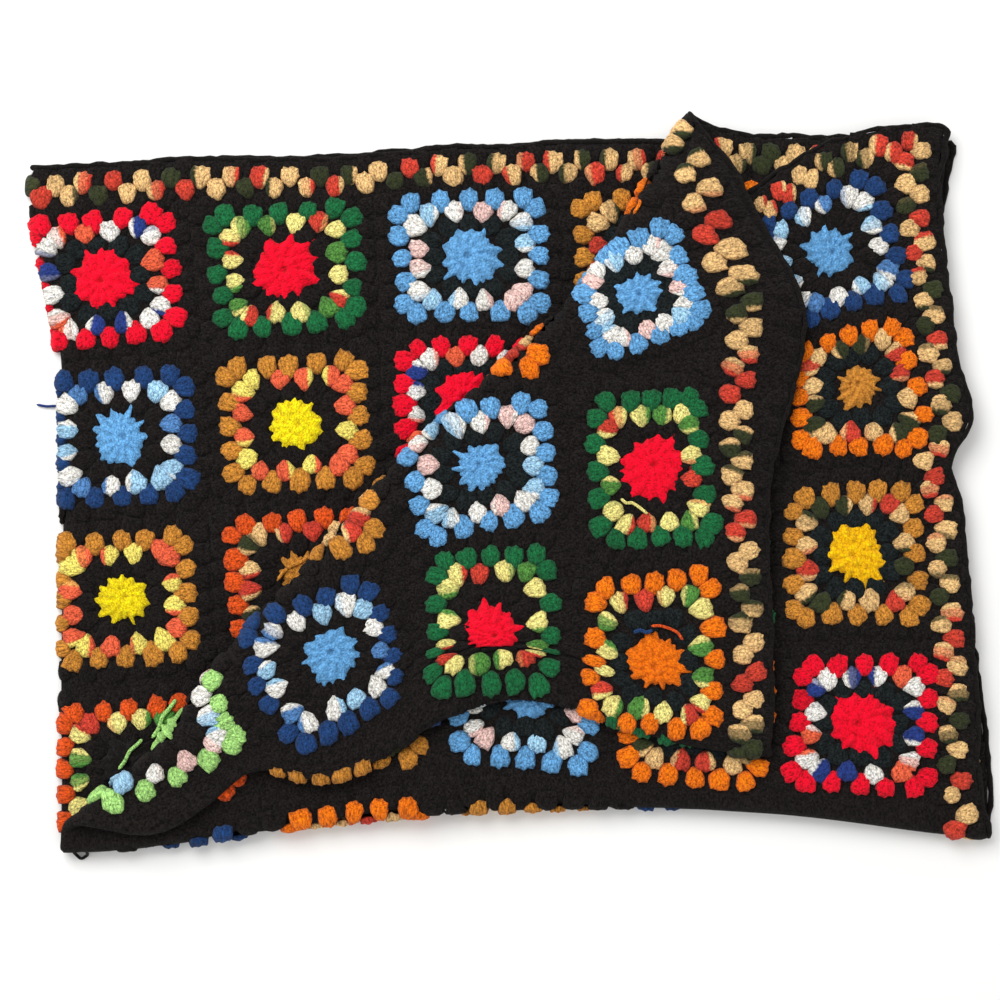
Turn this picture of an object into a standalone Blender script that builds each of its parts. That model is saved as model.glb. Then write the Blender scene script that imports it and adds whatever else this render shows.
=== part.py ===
"""Granny square blanket, folded in four, with one corner of its upper half turned over.

Metres, +Z up. The cloth is one piece: its left side is the first fold, its front side the second,
and its four finished edges lie at the back and on the right. It rests on the plane Z = 0, with the
origin under the middle of its outline. Lay coordinates run right and back from the folded corner.
"""

import math
from collections import namedtuple

import bmesh
import bpy

# The flat cloth: ten squares by eight, joined, inside a worked border.
SQUARE = 0.138
COLUMNS = 10
ROWS = 8
BORDER = 0.030
THICKNESS = 0.0038
HALF_LONG = COLUMNS / 2 * SQUARE + BORDER
HALF_WIDE = ROWS / 2 * SQUARE + BORDER

# How the cloth gives as it is laid down, and how far the first fold misses the middle seam.
GIVE_LONG = 1.02
GIVE_WIDE = 0.95
UPPER_DRIFT = 0.007
LOWER_DRIFT = 0.022
DRIFT_RUN = 0.05

# The four layers lie this far apart, mid to mid, and the lowest one touches the ground.
LAYER_PITCH = 0.006
LOWEST = THICKNESS / 2
FOLD_HEIGHT = LOWEST + 1.5 * LAYER_PITCH

# The turned corner: a slanting crease in the two upper layers, from the left side to the back.
CREASE_START = 0.010
CREASE_ANGLE = math.radians(47.7)
CREASE_RADIUS = LAYER_PITCH
CREASE_HEIGHT = FOLD_HEIGHT + 2 * LAYER_PITCH
FREE_RUN = 0.07

# Towards the free edges, at the back and on the right, the layers settle closer together.
SETTLE = 0.18
SETTLE_RUN = 0.12

# The faceted sheet: cells of the flat cloth, and facets round each bend.
CELL = 0.0315
FOLD_FACETS = 5
CREASE_FACETS = 5
LEAST_EDGE = 0.0014
CUT_REACH = 1e-5

CLOTH_COLOUR = (0.012, 0.011, 0.012, 1.0)

# A pull drags the cloth about a spot, and may turn it, fading away over its reach.
Pull = namedtuple("Pull", "x y reach_x reach_y dx dy turn")

# Pulls in the cloth before it is folded: right and back is the top layer, left and back the second,
# left and front the third, right and front the lowest.
CLOTH_PULLS = (
    Pull(0.66, 0.22, 0.16, 0.20, 0.000, 0.022, 0),
    Pull(0.64, 0.46, 0.12, 0.12, -0.016, -0.003, 22),
    Pull(0.28, 0.07, 0.25, 0.12, 0.018, -0.004, 0),
    Pull(0.28, 0.03, 0.19, 0.10, 0.000, 0.048, 0),
    Pull(0.52, 0.55, 0.09, 0.09, 0.000, -0.036, 0),
    Pull(-0.18, 0.30, 0.30, 0.30, -0.043, 0.046, 0),
    Pull(-0.25, -0.20, 0.25, 0.16, 0.000, -0.014, 0),
    Pull(0.76, -0.40, 0.20, 0.30, -0.024, 0.000, 0),
    Pull(-0.06, -0.06, 0.10, 0.08, 0.000, -0.010, 0),
    Pull(-0.455, 0.560, 0.05, 0.07, 0.000, 0.026, 0),
    Pull(0.65, 0.34, 0.12, 0.10, -0.007, 0.011, 0),
    Pull(0.56, 0.08, 0.09, 0.06, 0.008, 0.003, 0),
    Pull(0.23, 0.08, 0.07, 0.05, -0.009, 0.000, 0),
    Pull(-0.33, -0.33, 0.07, 0.07, 0.009, -0.012, 0),
    Pull(-0.19, -0.40, 0.07, 0.12, 0.002, 0.007, 0),
)

# Pulls in the two upper layers once the corner is turned over.
CREASE_PULLS = (
    Pull(0.38, 0.38, 0.17, 0.17, 0.032, -0.019, 0),
    Pull(0.20, 0.20, 0.11, 0.11, 0.016, -0.013, 0),
    Pull(0.45, 0.43, 0.09, 0.09, 0.016, -0.008, 0),
    Pull(0.05, 0.10, 0.09, 0.06, 0.016, -0.014, 0),
)

# Pulls in the turned corner alone, where it is free of the crease.
CORNER_PULLS = (
    Pull(0.29, 0.13, 0.12, 0.12, -0.006, 0.008, 0),
    Pull(0.345, 0.075, 0.08, 0.045, 0.000, 0.042, 0),
    Pull(0.62, 0.20, 0.26, 0.32, 0.036, -0.021, 0),
    Pull(0.545, 0.44, 0.04, 0.11, 0.050, 0.000, 0),
    Pull(0.09, 0.045, 0.10, 0.07, 0.030, 0.004, 20),
    Pull(0.36, 0.08, 0.12, 0.05, 0.000, 0.008, 0),
    Pull(0.53, 0.12, 0.12, 0.08, 0.000, -0.013, 0),
    Pull(0.44, 0.28, 0.12, 0.09, -0.013, 0.008, 0),
    Pull(0.45, 0.40, 0.09, 0.08, 0.012, 0.018, 0),
    Pull(0.13, 0.03, 0.05, 0.05, -0.004, 0.010, 0),
    Pull(0.20, 0.05, 0.07, 0.04, 0.000, -0.022, 0),
    Pull(0.40, 0.10, 0.06, 0.04, 0.000, 0.009, 0),
    Pull(0.03, 0.01, 0.05, 0.04, 0.004, -0.060, 0),
    Pull(0.16, 0.13, 0.05, 0.05, -0.030, 0.000, 0),
    Pull(0.21, 0.13, 0.06, 0.06, 0.018, 0.004, 0),
)

# Pulls that every layer shares: the waves of the outline.
OUTLINE_PULLS = (
    Pull(0.00, 0.28, 0.16, 3.00, 0.000, -0.022, 0),
    Pull(0.43, 0.00, 0.22, 0.12, 0.000, 0.015, 0),
    Pull(0.00, 0.53, 0.25, 0.09, -0.025, 0.000, 0),
    Pull(0.74, 0.46, 0.12, 0.12, -0.022, 0.000, 0),
    Pull(0.76, 0.28, 0.10, 0.14, -0.014, 0.000, 0),
    Pull(0.73, 0.33, 0.08, 0.03, 0.010, 0.000, 0),
    Pull(0.73, 0.29, 0.06, 0.02, -0.010, 0.000, 0),
    Pull(0.23, 0.56, 0.09, 0.07, 0.000, -0.010, 0),
    Pull(0.36, 0.57, 0.03, 0.04, 0.000, -0.004, 0),
    Pull(0.74, -0.01, 0.10, 0.05, 0.004, -0.012, 0),
)

# A ridge lifts the layers along a short line, at an angle in degrees from the right.
Ridge = namedtuple("Ridge", "x y angle half_length half_width height")

# Ridges through the whole stack, which grow from the lowest layer up.
STACK_RIDGES = (
    Ridge(0.72, 0.33, 0, 0.070, 0.034, 0.006),
    Ridge(0.63, 0.41, -12, 0.080, 0.036, 0.005),
    Ridge(0.70, 0.07, 25, 0.070, 0.036, 0.005),
    Ridge(0.10, 0.52, 80, 0.070, 0.036, 0.005),
    Ridge(0.36, 0.54, 100, 0.060, 0.036, 0.005),
    Ridge(0.52, 0.53, 75, 0.060, 0.036, 0.005),
    Ridge(0.30, 0.03, 90, 0.050, 0.040, 0.004),
)

# Ridges in the turned corner alone.
CORNER_RIDGES = (
    Ridge(0.32, 0.13, 42, 0.060, 0.036, 0.010),
    Ridge(0.26, 0.26, 48, 0.250, 0.040, 0.005),
    Ridge(0.49, 0.50, 60, 0.080, 0.040, 0.006),
    Ridge(0.55, 0.30, 95, 0.180, 0.036, 0.004),
    Ridge(0.15, 0.10, 20, 0.070, 0.036, 0.004),
)


def eased(value):
    """0 to 1, with a soft start and end."""
    value = min(max(value, 0.0), 1.0)
    return value * value * (3 - 2 * value)


def pulled(x, y, pulls, share=1.0):
    """The place of a point after the pulls."""
    moved_x, moved_y = x, y
    for pull in pulls:
        away_x, away_y = x - pull.x, y - pull.y
        weight = share * math.exp(-((away_x / pull.reach_x) ** 2) - (away_y / pull.reach_y) ** 2)
        turn = math.radians(pull.turn)
        moved_x += weight * (pull.dx - turn * away_y)
        moved_y += weight * (pull.dy + turn * away_x)
    return moved_x, moved_y


def lifted(x, y, ridges):
    """How far the ridges lift the cloth at a point."""
    lift = 0.0
    for ridge in ridges:
        angle = math.radians(ridge.angle)
        away_x, away_y = x - ridge.x, y - ridge.y
        along = (away_x * math.cos(angle) + away_y * math.sin(angle)) / ridge.half_length
        across = (away_y * math.cos(angle) - away_x * math.sin(angle)) / ridge.half_width
        lift += ridge.height * math.exp(-along * along - across * across)
    return lift


def spread(along, across):
    """A point of the flat cloth, in its own lengths from the middle, as laid but not yet folded."""
    lower = eased(0.5 - across / (2 * DRIFT_RUN))
    drift = UPPER_DRIFT + (LOWER_DRIFT - UPPER_DRIFT) * lower
    return pulled(along * GIVE_LONG + drift, across * GIVE_WIDE, CLOTH_PULLS)


def doubled(length, radius, out):
    """A fold: the cloth goes round an axis, and the layer lies out beyond the neutral radius.

    Returns the distance in from the axis and the height from it.
    """
    arc = math.pi * radius / 2
    if abs(length) < arc:
        angle = length / radius
        return -(radius + out) * math.cos(angle), (radius + out) * math.sin(angle)
    return abs(length) - arc, math.copysign(radius + out, length)


def past_crease(x, y):
    """The distance of a point past the crease, towards the corner that is turned over."""
    return (y - CREASE_START) * math.cos(CREASE_ANGLE) - x * math.sin(CREASE_ANGLE)


def turned(x, y, z):
    """The corner past the crease, rolled over onto the rest.

    Returns the point, its share of the turn and how free it is of the crease.
    """
    past = past_crease(x, y)
    if z < FOLD_HEIGHT or past <= 0:
        return x, y, z, 0.0, 0.0
    below = CREASE_HEIGHT - z
    angle = min(past / CREASE_RADIUS, math.pi)
    beyond = max(past - math.pi * CREASE_RADIUS, 0.0)
    shift = past + beyond - below * math.sin(angle)
    new_x = x + shift * math.sin(CREASE_ANGLE)
    new_y = y - shift * math.cos(CREASE_ANGLE)
    new_z = CREASE_HEIGHT - below * math.cos(angle)
    return new_x, new_y, new_z, 0.5 - 0.5 * math.cos(angle), eased(beyond / FREE_RUN)


def settled(x, y, z):
    """The height of a point once the layers have settled towards the free edges."""
    right = eased(1 - (HALF_LONG * GIVE_LONG - x) / SETTLE_RUN)
    back = eased(1 - (HALF_WIDE * GIVE_WIDE - y) / SETTLE_RUN)
    return LOWEST + (z - LOWEST) * (1 - SETTLE * (right + back - right * back))


def folded(x, y):
    """A point of the spread cloth as it lies folded, with its corner turned over."""
    inward, out = doubled(x, LAYER_PITCH / 2, 0.0)
    x = inward + LAYER_PITCH / 2
    inward, height = doubled(y, LAYER_PITCH, out)
    y = inward + LAYER_PITCH * 1.5
    upper = eased(0.5 + height / (2 * LAYER_PITCH))
    x, y, z, corner, free = turned(x, y, FOLD_HEIGHT + height)
    z = settled(x, y, z)
    x, y = pulled(x, y, CREASE_PULLS, upper)
    x, y = pulled(x, y, CORNER_PULLS, free)
    x, y = pulled(x, y, OUTLINE_PULLS)
    z += (z - LOWEST) / (3 * LAYER_PITCH) * lifted(x, y, STACK_RIDGES)
    z += corner * lifted(x, y, CORNER_RIDGES)
    return x, y, z


def emptied_scene():
    for existing in list(bpy.data.objects):
        bpy.data.objects.remove(existing)


def cut(mesh, point, normal, keep):
    """Cuts the faces whose middle passes keep along the line through point, square to normal."""
    faces = [face for face in mesh.faces if keep(face.calc_center_median())]
    geometry = faces + list({edge for face in faces for edge in face.edges})
    geometry += list({vertex for face in faces for vertex in face.verts})
    bmesh.ops.bisect_plane(mesh, geom=geometry, dist=CUT_REACH, plane_co=point, plane_no=normal)


def flat_sheet():
    """The cloth as a grid of cells, spread out but not yet folded."""
    mesh = bmesh.new()
    across = round(2 * HALF_LONG / CELL)
    down = round(2 * HALF_WIDE / CELL)
    bmesh.ops.create_grid(mesh, x_segments=across, y_segments=down, size=0.5)
    for vertex in mesh.verts:
        along = vertex.co.x * 2 * HALF_LONG
        vertex.co.x, vertex.co.y = spread(along, vertex.co.y * 2 * HALF_WIDE)
    return mesh


def crease_lines(mesh):
    """Cuts the spread cloth along the facets of every bend."""
    left_arc = LAYER_PITCH / 2 * math.pi
    front_arc = LAYER_PITCH * math.pi
    for facet in range(FOLD_FACETS + 1):
        share = facet / FOLD_FACETS - 0.5
        cut(mesh, (share * left_arc, 0, 0), (1, 0, 0), lambda middle: True)
        cut(mesh, (0, share * front_arc, 0), (0, 1, 0), lambda middle: True)
    slope = (math.sin(CREASE_ANGLE), math.cos(CREASE_ANGLE))
    # A point lies this much farther out in the spread cloth than it does once folded.
    in_by = left_arc / 2 - LAYER_PITCH / 2
    back_by = front_arc / 2 - LAYER_PITCH * 1.5
    for facet in range(CREASE_FACETS + 1):
        past = facet / CREASE_FACETS * math.pi * CREASE_RADIUS
        start = (CREASE_START + past / slope[1]) + back_by
        for side in (1, -1):
            point = (side * in_by, start, 0)
            cut(
                mesh,
                point,
                (-side * slope[0], slope[1], 0),
                lambda middle: middle.y > 0 and middle.x * side > 0,
            )


def without_slivers(mesh):
    """Joins corners that the cuts left almost together, so that no facet is a sliver."""
    bmesh.ops.remove_doubles(mesh, verts=mesh.verts, dist=LEAST_EDGE)
    bmesh.ops.dissolve_degenerate(mesh, dist=LEAST_EDGE / 10, edges=mesh.edges)


def blanket_material():
    material = bpy.data.materials.new("yarn")
    material.use_nodes = True
    shader = material.node_tree.nodes["Principled BSDF"]
    shader.inputs["Base Color"].default_value = CLOTH_COLOUR
    shader.inputs["Roughness"].default_value = 0.95
    shader.inputs["Metallic"].default_value = 0.0
    return material


def blanket(collection):
    """The whole folded cloth as one sheet of even thickness."""
    sheet = flat_sheet()
    crease_lines(sheet)
    without_slivers(sheet)
    for vertex in sheet.verts:
        vertex.co = folded(vertex.co.x, vertex.co.y)
    bmesh.ops.triangulate(sheet, faces=[face for face in sheet.faces if len(face.verts) > 4])
    middle_x = (min(v.co.x for v in sheet.verts) + max(v.co.x for v in sheet.verts)) / 2
    middle_y = (min(v.co.y for v in sheet.verts) + max(v.co.y for v in sheet.verts)) / 2
    bmesh.ops.translate(sheet, verts=sheet.verts, vec=(-middle_x, -middle_y, 0))
    data = bpy.data.meshes.new("blanket")
    sheet.to_mesh(data)
    sheet.free()
    data.materials.append(blanket_material())
    data.shade_smooth()
    cloth = bpy.data.objects.new("blanket", data)
    collection.objects.link(cloth)
    body = cloth.modifiers.new("thickness", "SOLIDIFY")
    body.thickness = THICKNESS
    body.offset = 0.0
    return cloth


def main():
    emptied_scene()
    collection = bpy.data.collections.new("granny_square_blanket")
    bpy.context.scene.collection.children.link(collection)
    blanket(collection)


main()
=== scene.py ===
"""Granny square blanket in crocheted yarn, folded in four with one corner turned over.

Metres, +Z up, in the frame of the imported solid. Every stitch is set out on the flat cloth, where
along runs right and across runs back from its middle, and is then carried on to the folded cloth.
"""

import math
from collections import namedtuple
from functools import partial

import bpy
import numpy as np
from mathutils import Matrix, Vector
from mathutils.bvhtree import BVHTree


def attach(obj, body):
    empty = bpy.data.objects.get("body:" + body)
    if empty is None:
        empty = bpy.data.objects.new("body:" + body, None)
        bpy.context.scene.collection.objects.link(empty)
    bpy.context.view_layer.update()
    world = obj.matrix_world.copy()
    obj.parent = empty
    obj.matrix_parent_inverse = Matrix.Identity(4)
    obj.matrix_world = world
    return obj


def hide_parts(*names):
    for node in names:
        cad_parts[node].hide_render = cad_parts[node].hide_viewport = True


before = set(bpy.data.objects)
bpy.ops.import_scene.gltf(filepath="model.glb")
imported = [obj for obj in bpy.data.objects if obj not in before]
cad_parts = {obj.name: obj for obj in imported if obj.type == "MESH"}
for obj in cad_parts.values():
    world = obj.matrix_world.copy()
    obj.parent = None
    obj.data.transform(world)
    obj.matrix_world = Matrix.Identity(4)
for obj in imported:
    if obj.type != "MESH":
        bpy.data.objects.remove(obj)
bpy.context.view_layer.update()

# ---------------------------------------------------------------- The folded cloth
# The cloth itself: joined squares and a border, a thin black sheet that closes what shows between
# the stitches. It is folded from the left and from the front, and its back left corner is turned
# over, by the same measures as the solid.

SQUARE = 0.138
COLUMNS = 10
ROWS = 8
BORDER = 0.030
HALF_LONG = COLUMNS / 2 * SQUARE + BORDER
HALF_WIDE = ROWS / 2 * SQUARE + BORDER
GIVE_LONG = 1.02
GIVE_WIDE = 0.95
UPPER_DRIFT = 0.007
LOWER_DRIFT = 0.022
DRIFT_RUN = 0.05
LAYER_PITCH = 0.006
LOWEST = 0.0019
FOLD_HEIGHT = LOWEST + 1.5 * LAYER_PITCH
CREASE_START = 0.010
CREASE_ANGLE = math.radians(47.7)
CREASE_RADIUS = LAYER_PITCH
CREASE_HEIGHT = FOLD_HEIGHT + 2 * LAYER_PITCH
FREE_RUN = 0.07
SETTLE = 0.18
SETTLE_RUN = 0.12

Pull = namedtuple("Pull", "x y reach_x reach_y dx dy turn")
CLOTH_PULLS = (
    Pull(0.66, 0.22, 0.16, 0.20, 0.000, 0.022, 0),
    Pull(0.64, 0.46, 0.12, 0.12, -0.016, -0.003, 22),
    Pull(0.28, 0.07, 0.25, 0.12, 0.018, -0.004, 0),
    Pull(0.28, 0.03, 0.19, 0.10, 0.000, 0.048, 0),
    Pull(0.52, 0.55, 0.09, 0.09, 0.000, -0.036, 0),
    Pull(-0.18, 0.30, 0.30, 0.30, -0.043, 0.046, 0),
    Pull(-0.25, -0.20, 0.25, 0.16, 0.000, -0.014, 0),
    Pull(0.76, -0.40, 0.20, 0.30, -0.024, 0.000, 0),
    Pull(-0.06, -0.06, 0.10, 0.08, 0.000, -0.010, 0),
    Pull(-0.455, 0.560, 0.05, 0.07, 0.000, 0.026, 0),
    Pull(0.65, 0.34, 0.12, 0.10, -0.007, 0.011, 0),
    Pull(0.56, 0.08, 0.09, 0.06, 0.008, 0.003, 0),
    Pull(0.23, 0.08, 0.07, 0.05, -0.009, 0.000, 0),
    Pull(-0.33, -0.33, 0.07, 0.07, 0.009, -0.012, 0),
    Pull(-0.19, -0.40, 0.07, 0.12, 0.002, 0.007, 0),
)
CREASE_PULLS = (
    Pull(0.38, 0.38, 0.17, 0.17, 0.032, -0.019, 0),
    Pull(0.20, 0.20, 0.11, 0.11, 0.016, -0.013, 0),
    Pull(0.45, 0.43, 0.09, 0.09, 0.016, -0.008, 0),
    Pull(0.05, 0.10, 0.09, 0.06, 0.016, -0.014, 0),
)
CORNER_PULLS = (
    Pull(0.29, 0.13, 0.12, 0.12, -0.006, 0.008, 0),
    Pull(0.345, 0.075, 0.08, 0.045, 0.000, 0.042, 0),
    Pull(0.62, 0.20, 0.26, 0.32, 0.036, -0.021, 0),
    Pull(0.545, 0.44, 0.04, 0.11, 0.050, 0.000, 0),
    Pull(0.09, 0.045, 0.10, 0.07, 0.030, 0.004, 20),
    Pull(0.36, 0.08, 0.12, 0.05, 0.000, 0.008, 0),
    Pull(0.53, 0.12, 0.12, 0.08, 0.000, -0.013, 0),
    Pull(0.44, 0.28, 0.12, 0.09, -0.013, 0.008, 0),
    Pull(0.45, 0.40, 0.09, 0.08, 0.012, 0.018, 0),
    Pull(0.13, 0.03, 0.05, 0.05, -0.004, 0.010, 0),
    Pull(0.20, 0.05, 0.07, 0.04, 0.000, -0.022, 0),
    Pull(0.40, 0.10, 0.06, 0.04, 0.000, 0.009, 0),
    Pull(0.03, 0.01, 0.05, 0.04, 0.004, -0.060, 0),
    Pull(0.16, 0.13, 0.05, 0.05, -0.030, 0.000, 0),
    Pull(0.21, 0.13, 0.06, 0.06, 0.018, 0.004, 0),
)
OUTLINE_PULLS = (
    Pull(0.00, 0.28, 0.16, 3.00, 0.000, -0.022, 0),
    Pull(0.43, 0.00, 0.22, 0.12, 0.000, 0.015, 0),
    Pull(0.00, 0.53, 0.25, 0.09, -0.025, 0.000, 0),
    Pull(0.74, 0.46, 0.12, 0.12, -0.022, 0.000, 0),
    Pull(0.76, 0.28, 0.10, 0.14, -0.014, 0.000, 0),
    Pull(0.73, 0.33, 0.08, 0.03, 0.010, 0.000, 0),
    Pull(0.73, 0.29, 0.06, 0.02, -0.010, 0.000, 0),
    Pull(0.23, 0.56, 0.09, 0.07, 0.000, -0.010, 0),
    Pull(0.36, 0.57, 0.03, 0.04, 0.000, -0.004, 0),
    Pull(0.74, -0.01, 0.10, 0.05, 0.004, -0.012, 0),
)

Ridge = namedtuple("Ridge", "x y angle half_length half_width height")
STACK_RIDGES = (
    Ridge(0.72, 0.33, 0, 0.070, 0.034, 0.006),
    Ridge(0.63, 0.41, -12, 0.080, 0.036, 0.005),
    Ridge(0.70, 0.07, 25, 0.070, 0.036, 0.005),
    Ridge(0.10, 0.52, 80, 0.070, 0.036, 0.005),
    Ridge(0.36, 0.54, 100, 0.060, 0.036, 0.005),
    Ridge(0.52, 0.53, 75, 0.060, 0.036, 0.005),
    Ridge(0.30, 0.03, 90, 0.050, 0.040, 0.004),
)
CORNER_RIDGES = (
    Ridge(0.32, 0.13, 42, 0.060, 0.036, 0.010),
    Ridge(0.26, 0.26, 48, 0.250, 0.040, 0.005),
    Ridge(0.49, 0.50, 60, 0.080, 0.040, 0.006),
    Ridge(0.55, 0.30, 95, 0.180, 0.036, 0.004),
    Ridge(0.15, 0.10, 20, 0.070, 0.036, 0.004),
)


def eased(value):
    """A smooth step from 0 to 1."""
    value = np.clip(value, 0.0, 1.0)
    return value * value * (3 - 2 * value)


def pulled(x, y, pulls, share=1.0):
    """Places moved by each pull, by a share that fades away from its middle."""
    moved_x, moved_y = x, y
    for pull in pulls:
        away_x, away_y = x - pull.x, y - pull.y
        weight = share * np.exp(-((away_x / pull.reach_x) ** 2) - (away_y / pull.reach_y) ** 2)
        turn = math.radians(pull.turn)
        moved_x = moved_x + weight * (pull.dx - turn * away_y)
        moved_y = moved_y + weight * (pull.dy + turn * away_x)
    return moved_x, moved_y


def lifted(x, y, ridges):
    """How high the ridges raise each place."""
    lift = 0.0
    for ridge in ridges:
        angle = math.radians(ridge.angle)
        away_x, away_y = x - ridge.x, y - ridge.y
        along = (away_x * math.cos(angle) + away_y * math.sin(angle)) / ridge.half_length
        across = (away_y * math.cos(angle) - away_x * math.sin(angle)) / ridge.half_width
        lift = lift + ridge.height * np.exp(-along * along - across * across)
    return lift


def spread(along, across):
    """The flat cloth as laid, with its drift and its give, but not yet folded."""
    lower = eased(0.5 - across / (2 * DRIFT_RUN))
    drift = UPPER_DRIFT + (LOWER_DRIFT - UPPER_DRIFT) * lower
    return pulled(along * GIVE_LONG + drift, across * GIVE_WIDE, CLOTH_PULLS)


def doubled(length, radius, out):
    """A fold: the distance in from its axis and the height from it."""
    arc = math.pi * radius / 2
    angle = np.clip(length, -arc, arc) / radius
    inward = np.maximum(np.abs(length) - arc, 0.0) - (radius + out) * np.cos(angle)
    return inward, (radius + out) * np.sin(angle)


def turned(x, y, z):
    """The corner past the crease rolled over, with its share of the turn and its freedom from it."""
    past = (y - CREASE_START) * math.cos(CREASE_ANGLE) - x * math.sin(CREASE_ANGLE)
    past = np.where(z < FOLD_HEIGHT, 0.0, np.maximum(past, 0.0))
    below = CREASE_HEIGHT - z
    angle = np.minimum(past / CREASE_RADIUS, math.pi)
    beyond = np.maximum(past - math.pi * CREASE_RADIUS, 0.0)
    shift = past + beyond - below * np.sin(angle)
    new_x = x + shift * math.sin(CREASE_ANGLE)
    new_y = y - shift * math.cos(CREASE_ANGLE)
    new_z = CREASE_HEIGHT - below * np.cos(angle)
    return new_x, new_y, new_z, 0.5 - 0.5 * np.cos(angle), eased(beyond / FREE_RUN)


def settled(x, y, z):
    """The stack sunk a little towards its free edges at the right and at the back."""
    right = eased(1 - (HALF_LONG * GIVE_LONG - x) / SETTLE_RUN)
    back = eased(1 - (HALF_WIDE * GIVE_WIDE - y) / SETTLE_RUN)
    return LOWEST + (z - LOWEST) * (1 - SETTLE * (right + back - right * back))


def folded(x, y):
    """The spread cloth as it lies folded, with its corner turned over."""
    inward, out = doubled(x, LAYER_PITCH / 2, 0.0)
    x = inward + LAYER_PITCH / 2
    inward, height = doubled(y, LAYER_PITCH, out)
    y = inward + LAYER_PITCH * 1.5
    upper = eased(0.5 + height / (2 * LAYER_PITCH))
    x, y, z, corner, free = turned(x, y, FOLD_HEIGHT + height)
    z = settled(x, y, z)
    x, y = pulled(x, y, CREASE_PULLS, upper)
    x, y = pulled(x, y, CORNER_PULLS, free)
    x, y = pulled(x, y, OUTLINE_PULLS)
    z = z + (z - LOWEST) / (3 * LAYER_PITCH) * lifted(x, y, STACK_RIDGES)
    z = z + corner * lifted(x, y, CORNER_RIDGES)
    return np.stack([x, y, z], axis=-1)


def on_cloth(along, across):
    """Where places of the flat cloth come to lie."""
    return folded(*spread(along, across))


OUTLINE_STEP = 0.005
ALONG_LINE = np.arange(-HALF_LONG, HALF_LONG + OUTLINE_STEP / 2, OUTLINE_STEP)
ACROSS_LINE = np.arange(-HALF_WIDE, HALF_WIDE + OUTLINE_STEP / 2, OUTLINE_STEP)
whole = on_cloth(*np.meshgrid(ALONG_LINE, ACROSS_LINE)).reshape(-1, 3)
MIDDLE = np.append((whole[:, :2].min(axis=0) + whole[:, :2].max(axis=0)) / 2, 0.0)

FLOOR_GAP = 0.0002
SLOPE_STEP = 0.0004
STRETCH_STEP = 0.002
EASE_LIMITS = (0.72, 1.34)
LEAST_STRETCH = 0.1


def carried(along, across, height):
    """Points of the flat cloth, height above its face, in the frame of the solid."""
    here = on_cloth(along, across)
    right = on_cloth(along + SLOPE_STEP, across) - here
    back = on_cloth(along, across + SLOPE_STEP) - here
    normal = np.cross(right, back)
    normal /= np.linalg.norm(normal, axis=-1, keepdims=True)
    spots = here + normal * np.asarray(height)[..., None] - MIDDLE
    spots[..., 2] = np.maximum(spots[..., 2], FLOOR_GAP)
    return spots


def stretch_at(along, across):
    """How much the folded cloth stretches each way at each place, as a matrix with no turn in it."""
    step = STRETCH_STEP
    right = (on_cloth(along + step, across) - on_cloth(along - step, across)) / (2 * step)
    back = (on_cloth(along, across + step) - on_cloth(along, across - step)) / (2 * step)
    long, skew, wide = (right * right).sum(-1), (right * back).sum(-1), (back * back).sum(-1)
    area = np.sqrt(long * wide - skew * skew)
    matrix = np.stack([long + area, skew, skew, wide + area], axis=-1).reshape(*long.shape, 2, 2)
    return matrix / np.sqrt(long + wide + 2 * area)[..., None, None]


def eased_back(stretch):
    """The steps of the flat cloth that come out true to size where it stretches so, within limits."""
    values, vectors = np.linalg.eigh(stretch)
    values = np.clip(1 / np.maximum(values, LEAST_STRETCH), *EASE_LIMITS)
    return (vectors * values[..., None, :]) @ np.swapaxes(vectors, -1, -2)


def mesh_piece(name, points, triangles, colours=None, ply=None):
    """A smooth mesh from arrays, with a colour and the run of its yarn at each point."""
    data = bpy.data.meshes.new(name)
    data.vertices.add(len(points))
    data.vertices.foreach_set("co", np.ascontiguousarray(points, np.float32).ravel())
    data.loops.add(triangles.size)
    data.loops.foreach_set("vertex_index", np.ascontiguousarray(triangles, np.int32).ravel())
    data.polygons.add(len(triangles))
    data.polygons.foreach_set("loop_start", np.arange(0, triangles.size, 3, dtype=np.int32))
    data.update(calc_edges=True)
    data.validate()
    data.shade_smooth()
    if colours is not None:
        layer = data.color_attributes.new("yarn_colour", "FLOAT_COLOR", "POINT")
        opaque = np.c_[colours, np.ones(len(colours))]
        layer.data.foreach_set("color", opaque.astype(np.float32).ravel())
    if ply is not None:
        layer = data.attributes.new("yarn_run", "FLOAT_VECTOR", "POINT")
        layer.data.foreach_set("vector", np.ascontiguousarray(ply, np.float32).ravel())
    piece = bpy.data.objects.new(name, data)
    bpy.context.scene.collection.objects.link(piece)
    return piece


def sheet_lines(half, cell, bend, fine):
    """Grid lines across half the cloth each way, finer where the fold bends it."""
    outer = np.linspace(bend, half, round((half - bend) / cell) + 1)
    inner = np.linspace(-bend, bend, round(2 * bend / fine) + 1)
    return np.concatenate([-outer[::-1], inner[1:-1], outer])


CLOTH_CELL = 0.009
BEND_REACH = 0.018
BEND_CELL = 0.003
HEM_IN = 0.0042
CLOTH_THICKNESS = 0.0018
STRAND_PITCH = 0.0023

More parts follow.
